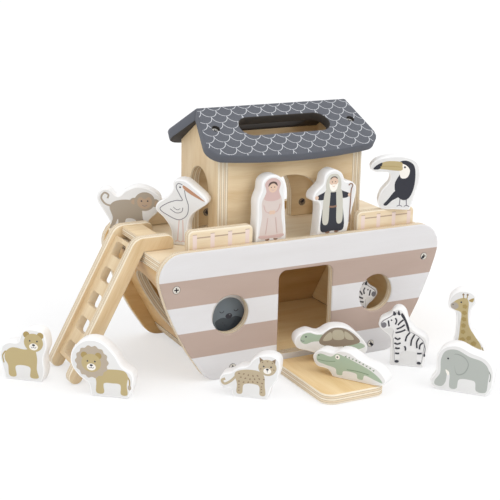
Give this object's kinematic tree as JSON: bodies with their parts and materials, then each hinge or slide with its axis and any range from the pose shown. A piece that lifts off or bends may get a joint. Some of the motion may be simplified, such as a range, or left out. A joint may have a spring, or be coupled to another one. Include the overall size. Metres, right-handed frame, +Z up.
{
  "type": "noahs ark toy",
  "caption": "Wooden toy ark with a striped plywood hull, cabin, pitched slate-grey roof with a grip slot, hooked ladder, gangplank and printed block animals and people.",
  "frame": {"origin": "middle of the front panel's foot edge, on the ground", "axes": "+X along the hull towards the stern, +Y from the door side to the back, +Z up"},
  "size_m": [0.4329, 0.2924, 0.2457],
  "materials": {
    "birch_plywood": "clear-lacquered birch plywood, matt",
    "striped_panel": "plywood painted in white and taupe bands, matt",
    "roof_paint": "plywood painted slate grey with white scale lines, matt",
    "screw_steel": "zinc-plated cross-head screw",
    "white_block": "solid wood block painted white, with a printed front"
  },
  "bodies": {
    "ark": {"hull_front_panel": "striped_panel", "hull_back_panel": "striped_panel", "hull_floor": "birch_plywood", "bow_wall": "birch_plywood", "stern_wall": "birch_plywood", "deck": "birch_plywood", "hull_front_screws": "screw_steel", "hull_back_screws": "screw_steel", "cabin_front_wall": "birch_plywood", "cabin_back_wall": "birch_plywood", "cabin_left_gable": "birch_plywood", "cabin_right_gable": "birch_plywood", "cabin_screws": "screw_steel", "roof_front_panel": "roof_paint", "roof_back_panel": "roof_paint", "roof_screws": "screw_steel", "front_left_railing": "birch_plywood", "front_right_railing": "birch_plywood", "back_left_railing": "birch_plywood", "back_right_railing": "birch_plywood"},
    "ladder": {"ladder_near_rail": "birch_plywood", "ladder_far_rail": "birch_plywood", "ladder_step_board": "birch_plywood", "ladder_top_board": "birch_plywood"},
    "gangplank": {"gangplank": "birch_plywood"},
    "man": {"man_figure": "white_block"},
    "woman": {"woman_figure": "white_block"},
    "lion": {"lion_figure": "white_block"},
    "lioness": {"lioness_figure": "white_block"},
    "leopard": {"leopard_figure": "white_block"},
    "zebra": {"zebra_figure": "white_block"},
    "hold_zebra": {"hold_zebra_figure": "white_block"},
    "elephant": {"elephant_figure": "white_block"},
    "giraffe": {"giraffe_figure": "white_block"},
    "turtle": {"turtle_figure": "white_block"},
    "crocodile": {"crocodile_figure": "white_block"},
    "toucan": {"toucan_figure": "white_block"},
    "pelican": {"pelican_figure": "white_block"},
    "monkey": {"monkey_figure": "white_block"},
    "seal": {"seal_figure": "white_block"}
  },
  "joints": [
    {"name": "ladder_lift", "type": "slide", "parent": "ark", "child": "ladder", "axis": [0, 0, 1], "range_m": [0, 0.045]},
    {"name": "gangplank_pull", "type": "slide", "parent": "ark", "child": "gangplank", "axis": [0, -1, 0], "range_m": [0, 0.08]},
    {"name": "man_walk", "type": "slide", "parent": "ark", "child": "man", "axis": [-1, 0, 0], "range_m": [0, 0.012]},
    {"name": "woman_walk", "type": "slide", "parent": "ark", "child": "woman", "axis": [1, 0, 0], "range_m": [0, 0.012]},
    {"name": "lion_lift", "type": "slide", "parent": "ark", "child": "lion", "axis": [0, 0, 1], "range_m": [0, 0.08]},
    {"name": "lioness_lift", "type": "slide", "parent": "ark", "child": "lioness", "axis": [0, 0, 1], "range_m": [0, 0.08]},
    {"name": "leopard_lift", "type": "slide", "parent": "ark", "child": "leopard", "axis": [0, 0, 1], "range_m": [0, 0.08]},
    {"name": "zebra_lift", "type": "slide", "parent": "ark", "child": "zebra", "axis": [0, 0, 1], "range_m": [0, 0.08]},
    {"name": "hold_zebra_walk", "type": "slide", "parent": "ark", "child": "hold_zebra", "axis": [-1, 0, 0], "range_m": [0, 0.04]},
    {"name": "elephant_lift", "type": "slide", "parent": "ark", "child": "elephant", "axis": [0, 0, 1], "range_m": [0, 0.08]},
    {"name": "giraffe_lift", "type": "slide", "parent": "ark", "child": "giraffe", "axis": [0, 0, 1], "range_m": [0, 0.08]},
    {"name": "turtle_lift", "type": "slide", "parent": "gangplank", "child": "turtle", "axis": [0, 0, 1], "range_m": [0, 0.08]},
    {"name": "crocodile_lift", "type": "slide", "parent": "gangplank", "child": "crocodile", "axis": [0, 0, 1], "range_m": [0, 0.08]},
    {"name": "toucan_lift", "type": "slide", "parent": "ark", "child": "toucan", "axis": [0.5, -0.85, 0.1658], "range_m": [0, 0.06]},
    {"name": "pelican_lift", "type": "slide", "parent": "ark", "child": "pelican", "axis": [-0.3, 0, 0.9539], "range_m": [0, 0.11]},
    {"name": "monkey_lift", "type": "slide", "parent": "ark", "child": "monkey", "axis": [0, 0, 1], "range_m": [0, 0.08]},
    {"name": "seal_walk", "type": "slide", "parent": "ark", "child": "seal", "axis": [1, 0, 0], "range_m": [0, 0.04]}
  ]
}
